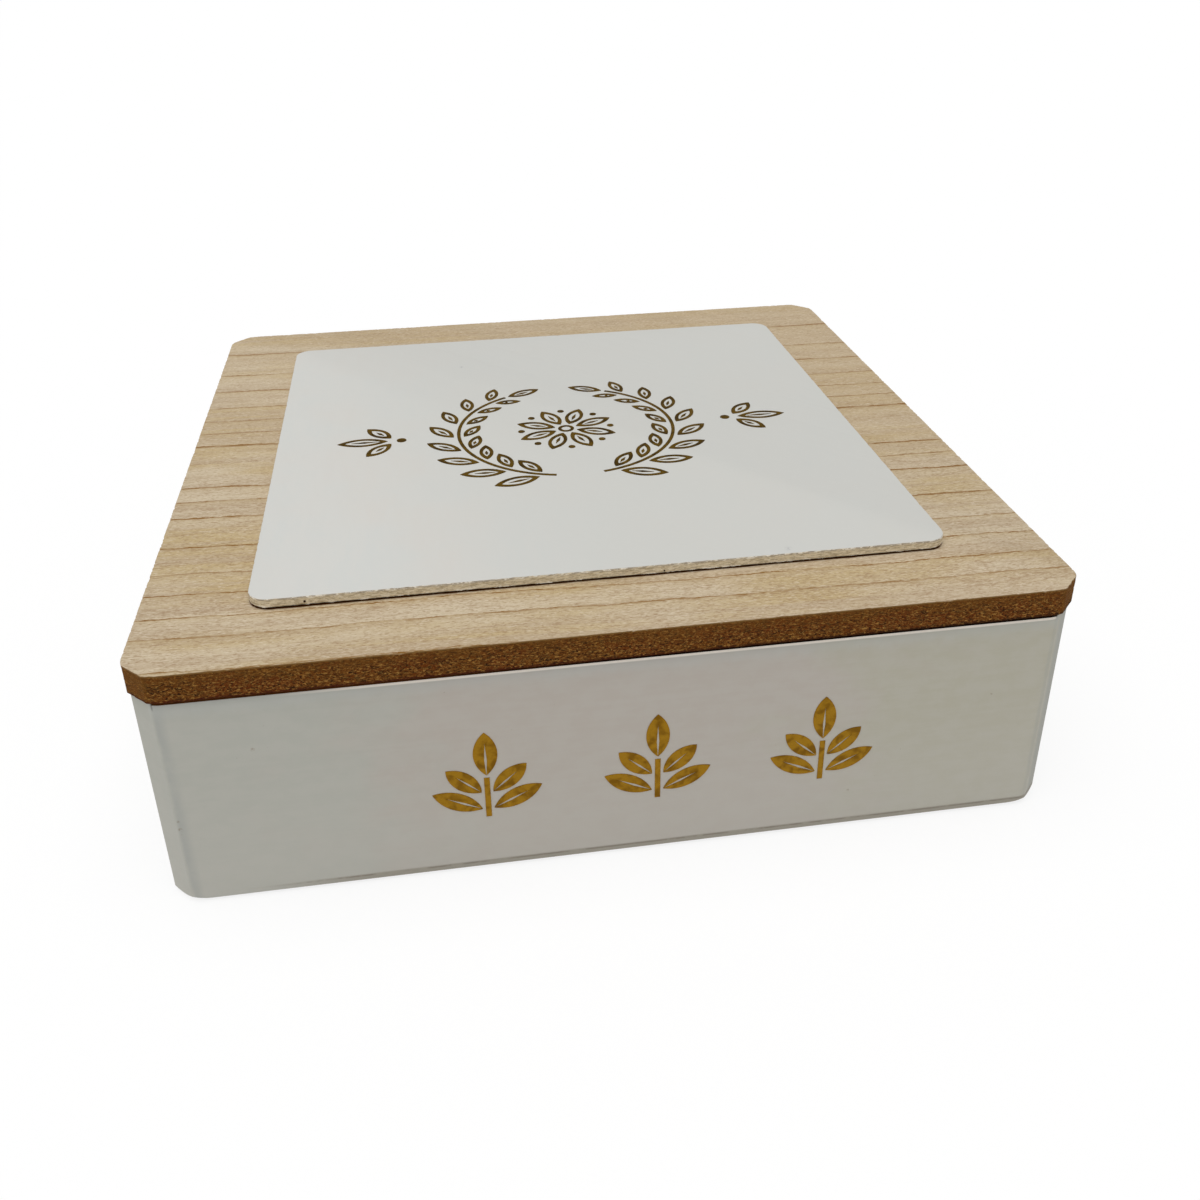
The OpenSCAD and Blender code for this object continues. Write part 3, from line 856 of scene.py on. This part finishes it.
def roundedWalk(low, high, radius, step):
    # places along a rectangle with round corners, each with its outward direction
    walk = []
    corners = ((high.x, high.y, 0), (low.x, high.y, 90), (low.x, low.y, 180), (high.x, low.y, 270))
    for turn, (x, y, start) in enumerate(corners):
        centreX = x - radius * (1 if turn in (0, 3) else -1)
        centreY = y - radius * (1 if turn in (0, 1) else -1)
        bends = max(4, round(math.pi / 2 * radius / step))
        for bend in range(bends + 1):
            angle = math.radians(start + 90 * bend / bends)
            out = Vector((math.cos(angle), math.sin(angle)))
            walk.append((Vector((centreX, centreY)) + out * radius, out))
        length = (high.y - low.y if turn in (1, 3) else high.x - low.x) - 2 * radius
        pieces = round(length / step)
        along = Vector((-out.y, out.x))
        first = walk[-1][0]
        for piece in range(1, pieces):
            walk.append((first + along * length * piece / pieces, out))
    return walk


def cutWalk(low, high, look):
    # the same, with each round corner cut flat at 45 degrees
    middle = (low.xy + high.xy) / 2
    reach = high.x - middle.x + high.y - middle.y - look["cut"] * mm
    walk = []
    for place, out in roundedWalk(low, high, look["bend"] * mm, look["step"] * mm):
        apart = place - middle
        over = abs(apart.x) + abs(apart.y) - reach
        if over > 0:
            out = Vector((math.copysign(1, apart.x), math.copysign(1, apart.y))).normalized()
            place = place - out * over / math.sqrt(2)
        walk.append((place, out))
    return walk


def makeObject(name, build):
    mesh = bpy.data.meshes.new(name)
    build.normal_update()
    build.to_mesh(mesh)
    build.free()
    made = bpy.data.objects.new(name, mesh)
    bpy.context.collection.objects.link(made)
    return made


def closeRings(build, rings):
    # a closed skin over rings of corners that lie one after the other
    count = len(rings[0])
    for lower, upper in zip(rings, rings[1:]):
        for i in range(count):
            j = (i + 1) % count
            build.faces.new((lower[i], lower[j], upper[j], upper[i])).smooth = True
    build.faces.new(list(reversed(rings[0])))
    build.faces.new(rings[-1])


def sawnBoard(name, walk, levels, depthAt):
    # depthAt(place, level number) is how far the edge lies in from the clean cut
    build = bmesh.new()
    rings = []
    for number, height in enumerate(levels):
        ring = []
        for place, out in walk:
            inward = depthAt(Vector((place.x, place.y, height)), number)
            flat = place - out * inward
            ring.append(build.verts.new((flat.x, flat.y, height)))
        rings.append(ring)
    closeRings(build, rings)
    board = makeObject(name, build)
    board.data.set_sharp_from_angle(angle=math.radians(sharpAngle))
    return board


def wrinkle(place, size, seed):
    # smooth noise from 0 to 1 with grains of the given size in millimetres
    return 0.5 + 0.5 * noise.noise(place / (size * mm) + Vector((seed, seed * 1.7, seed * 0.3)))


def evenLevels(bottom, top, count):
    return [bottom + (top - bottom) * i / count for i in range(count + 1)]


def makeCore():
    look = coreShape
    low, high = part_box("lid_board")

    def depthAt(place, number):
        pits = max(0.0, wrinkle(place, look["pitSize"], 3) - 0.55) / 0.45 * look["pit"]
        flat = Vector((place.x, place.y, place.z * 2.5))
        ridges = wrinkle(flat, look["ridgeSize"], 11) * look["ridge"]
        return (look["least"] + pits + ridges) * mm

    walk = cutWalk(low, high, look)
    board = sawnBoard("lidCore", walk, evenLevels(low.z, high.z, look["rows"]), depthAt)
    board.data.materials.append(core)
    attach(board, "lid")
    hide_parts("lid_board")


def makeVeneer():
    look = veneerShape
    low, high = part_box("lid_veneer")
    reach = high.x + high.y - coreShape["cut"] * mm

    def depthAt(place, number):
        small = wrinkle(place, look["chipSize"], 5) * 0.7
        wide = wrinkle(place, look["chipSpread"], 8) * 0.3
        chips = max(0.0, small + wide - 0.52) / 0.3
        share = 0.3 + 0.7 * number / (len(look["levels"]) - 1)
        fuzz = wrinkle(place, look["fuzzSize"], 2) * look["fuzz"]
        depth = look["round"][number] + chips * look["chip"] * share + fuzz
        if place.x > 0 and abs(place.x) + abs(place.y) > reach - 0.1 * mm:
            depth += max(0.0, wrinkle(place, look["chipSize"], 40) - 0.35) * look["cornerChip"]
        return depth * mm

    walk = cutWalk(low, high, coreShape)
    board = sawnBoard("lidVeneer", walk, [low.z + h * mm for h in look["levels"]], depthAt)
    board.data.materials.append(wood)
    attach(board, "lid")
    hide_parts("lid_veneer")


def makePlaque():
    look = plaqueShape
    low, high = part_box("plaque")
    walk = roundedWalk(low, high, look["corner"] * mm, look["step"] * mm)
    levels = evenLevels(low.z, high.z - look["paintEdge"] * mm, look["rows"])
    levels.append(high.z - look["paintEdge"] * 0.3 * mm)
    levels.append(high.z)
    last = len(levels) - 1
    rounding = dict(zip((last, last - 1, 0), look["round"]))

    def depthAt(place, number):
        flat = Vector((place.x, place.y, place.z * 2))
        tears = max(0.0, wrinkle(flat, look["tearSize"], 21) - 0.5) * 2 * look["tear"]
        chips = 0
        if number >= last - 1:
            chips = max(0.0, wrinkle(place, look["chipSize"], 31) - 0.62) * look["chip"]
        return (look["least"] + tears + rounding.get(number, 0) + chips) * mm

    board = sawnBoard("plaqueBoard", walk, levels, depthAt)
    board.data.materials.append(plaquePaint)
    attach(board, "lid")
    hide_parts("plaque")


def strand(build, points, thickness):
    # thin bent rod with three sides that runs to a point at both ends
    rings = []
    for number, point in enumerate(points):
        ahead = points[min(number + 1, len(points) - 1)] - points[max(number - 1, 0)]
        across = ahead.cross(Vector((0.31, 0.42, 0.85))).normalized()
        above = ahead.cross(across).normalized()
        width = thickness * (0.35 if number in (0, len(points) - 1) else 1)
        ring = []
        for side in range(3):
            angle = math.tau * side / 3
            away = across * math.cos(angle) + above * math.sin(angle)
            ring.append(build.verts.new(point + away * width))
        rings.append(ring)
    closeRings(build, rings)


def makeFibres():
    look = fibreShape
    chance = random.Random(look["seed"])
    low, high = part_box("lid_board")
    walk = cutWalk(low, high, coreShape)
    build = bmesh.new()
    for number in range(look["count"]):
        place, out = chance.choice(walk)
        along = Vector((-out.y, out.x, 0))
        length = chance.uniform(*look["length"]) * mm
        lift = chance.uniform(-look["lift"], look["lift"])
        bow = chance.uniform(-look["bow"], look["bow"])
        height = chance.uniform(low.z + look["margin"] * mm, high.z - look["margin"] * mm)
        points = []
        for step in range(look["bends"] + 1):
            share = step / look["bends"] - 0.5
            flat = place - out * look["inset"] * mm * (1 + 2.2 * abs(share))
            point = Vector((flat.x, flat.y, height)) + along * share * length
            point.z += (lift * share + bow * (1 - 4 * share * share)) * length * 0.6
            points.append(point)
        strand(build, points, look["thickness"] * mm)
    fibres = makeObject("edgeFibres", build)
    fibres.data.materials.append(fibre)
    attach(fibres, "lid")


makeCore()
makeVeneer()
makePlaque()
makeFibres()
print("tea box: lid boards with sawn edges and loose fibres")


# light: a wide soft sun high over the front left, and an even room

studio = {
    "room": 0.42,
    "sunPower": 1.9,
    "sunWidth": 70,  # degrees
    "sunHeight": 75,
    "sunTurn": -30,  # to the left of straight in front
    "floorGrey": 0.6,  # for the light that the floor sends back
    "floorGlow": 0.8,
    "floorSize": 40,
}


def hangSun():
    sun = bpy.data.lights.new("softSun", "SUN")
    sun.energy = studio["sunPower"]
    sun.angle = math.radians(studio["sunWidth"])
    holder = bpy.data.objects.new("softSun", sun)
    height = math.radians(studio["sunHeight"])
    turn = math.radians(studio["sunTurn"])
    level = math.cos(height)
    toSun = Vector((math.sin(turn) * level, -math.cos(turn) * level, math.sin(height)))
    holder.rotation_euler = toSun.to_track_quat("Z", "Y").to_euler()
    holder.location = toSun * 2
    bpy.context.collection.objects.link(holder)


def lightRoom():
    world = bpy.data.worlds.new("evenRoom")
    bpy.context.scene.world = world
    room = Finish("evenRoom", world)
    white = (1, 1, 1, 1)
    dim = room.node("Background", {}, {"Color": white, "Strength": studio["room"]})
    full = room.node("Background", {}, {"Color": white, "Strength": 1.0})
    both = room.node("MixShader", {}, {0: room.looked(), 1: dim, 2: full})
    room.node("OutputWorld", {}, {"Surface": both})


def layFloor():
    half = studio["floorSize"] / 2
    build = bmesh.new()
    corners = ((-half, -half), (half, -half), (half, half), (-half, half))
    build.faces.new([build.verts.new((x, y, 0)) for x, y in corners])
    floor = makeObject("floor", build)
    pale = Finish("paleFloor")
    seen = pale.looked()
    grey = studio["floorGrey"]
    tone = pale.blend((grey, grey, grey, 1), (1, 1, 1, 1), seen)
    matt = pale.node("BsdfDiffuse", {}, {"Color": tone})
    glow = pale.node("Emission", {}, {"Color": (1, 1, 1, 1), "Strength": 1.0})
    both = pale.node("MixShader", {}, {0: seen * studio["floorGlow"], 1: matt, 2: glow})
    pale.node("OutputMaterial", {}, {"Surface": both})
    floor.data.materials.append(pale.material)


hangSun()
lightRoom()
layFloor()
print("tea box: light and floor")
